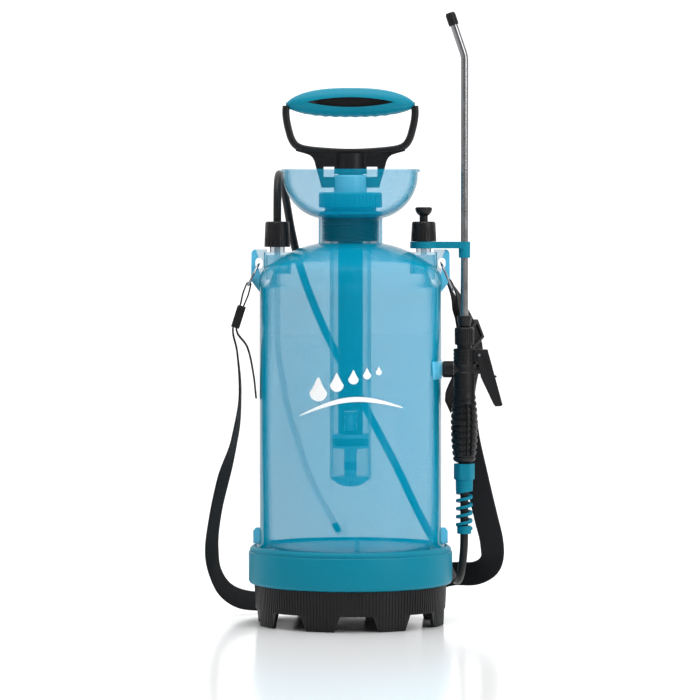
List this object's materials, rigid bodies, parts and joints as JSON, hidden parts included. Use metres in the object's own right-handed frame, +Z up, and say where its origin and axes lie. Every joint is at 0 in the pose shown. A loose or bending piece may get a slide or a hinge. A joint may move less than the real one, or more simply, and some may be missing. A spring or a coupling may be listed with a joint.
{
  "type": "pump sprayer",
  "caption": "Hand-pumped pressure sprayer: clear tank on a notched foot, plunger pump with D-handle in a filling funnel, trigger gun with lance, hose and carrying strap.",
  "frame": {"origin": "floor under the pump's axis", "axes": "+Z up along the tank, -Y is the front, +X is the side with the gun and lance"},
  "size_m": [0.3152, 0.2484, 0.6394],
  "materials": {
    "clear_blue": "glossy, see-through",
    "clear_pump": "glossy, see-through",
    "light_blue": "satin",
    "teal": "satin",
    "black": "satin",
    "rubber": "matt",
    "blue_rubber": "matt",
    "steel": "satin",
    "webbing": "woven"
  },
  "bodies": {
    "tank": {"tank_shell": "clear_blue", "base_ring": "teal", "base_foot": "black", "funnel": "clear_blue", "outlet_nut": "black", "outlet_barb": "black", "outlet_seal": "rubber", "dip_tube": "clear_pump", "suction_strainer": "clear_pump", "valve_nut": "black", "valve_spring": "steel", "lance_holder": "teal", "spray_hose": "rubber"},
    "valve": {"valve_knob": "black", "valve_seal": "rubber"},
    "pump_seat": {"pump_gasket": "rubber"},
    "pump_head": {"pump_cap": "teal", "pump_cylinder": "clear_pump", "pump_collar": "light_blue", "foot_valve": "light_blue", "foot_valve_sleeve": "blue_rubber"},
    "piston": {"piston_head": "light_blue", "piston_ring": "rubber"},
    "handle": {"plunger_tube": "black", "handle_frame": "black", "handle_grip": "teal"},
    "gun": {"gun_body": "black", "gun_grip": "black", "gun_valve_cap": "black", "lance_nut": "black", "lance_oring": "rubber", "grip_filter": "black", "trigger_pin": "steel", "hose_nut": "teal", "hose_tail": "black", "hose_guard": "teal"},
    "gun_valve": {"gun_valve_stem": "black", "gun_valve_seal": "rubber", "gun_valve_spring": "steel"},
    "trigger": {"trigger": "black"},
    "lance": {"lance_tube": "steel", "lance_collar": "black", "nozzle_core": "black"},
    "nozzle": {"nozzle_cap": "black"},
    "strap": {"strap_web": "webbing", "strap_ring_left": "steel", "strap_ring_right": "steel", "strap_slider_left": "black", "strap_slider_right": "black"}
  },
  "joints": [
    {"name": "valve_pull", "type": "slide", "parent": "tank", "child": "valve", "axis": [0, 0, 1], "range_m": [0, 0.005], "stiffness_N_per_m": 900, "springref_m": -0.009, "deforming": ["valve_spring"]},
    {"name": "pump_rise", "type": "slide", "parent": "tank", "child": "pump_seat", "axis": [0, 0, 1], "range_m": [0, 0.012]},
    {"name": "pump_unscrew", "type": "hinge", "parent": "pump_seat", "child": "pump_head", "pos_m": [0, 0, 0.43], "axis": [0, 0, 1], "range_deg": [0, 1079]},
    {"name": "pump_stroke", "type": "slide", "parent": "pump_head", "child": "piston", "axis": [0, 0, 1], "range_m": [0, 0.2]},
    {"name": "handle_turn", "type": "hinge", "parent": "piston", "child": "handle", "pos_m": [0, 0, 0.5], "axis": [0, 0, 1], "continuous": true},
    {"name": "gun_slide", "type": "slide", "parent": "tank", "child": "gun", "axis": [0, 0, 1], "range_m": [0, 0.02]},
    {"name": "lance_turn", "type": "hinge", "parent": "gun", "child": "lance", "pos_m": [0.119, 0, 0.31], "axis": [0, 0, 1], "continuous": true},
    {"name": "nozzle_turn", "type": "hinge", "parent": "lance", "child": "nozzle", "pos_m": [0.10724, 0, 0.62684], "axis": [-0.3239, 0, 0.9461], "continuous": true},
    {"name": "trigger_squeeze", "type": "hinge", "parent": "gun", "child": "trigger", "pos_m": [0.1343, 0, 0.281], "axis": [0, 1, 0], "range_deg": [0, 13], "stiffness_Nm_per_rad": 0.6, "springref_deg": -14.32},
    {"name": "valve_stem_push", "type": "slide", "parent": "gun", "child": "gun_valve", "axis": [-1, 0, 0], "range_m": [0, 0.0039], "stiffness_N_per_m": 400, "springref_m": -0.003},
    {"name": "strap_swing", "type": "hinge", "parent": "tank", "child": "strap", "pos_m": [0, 0, 0.377], "axis": [1, 0, 0], "range_deg": [0, 18]}
  ],
  "couplings": [
    {"joint": "pump_rise", "follows": "pump_unscrew", "m_per_rad": 0.00063662},
    {"joint": "valve_stem_push", "follows": "trigger_squeeze", "m_per_rad": 0.0169}
  ]
}
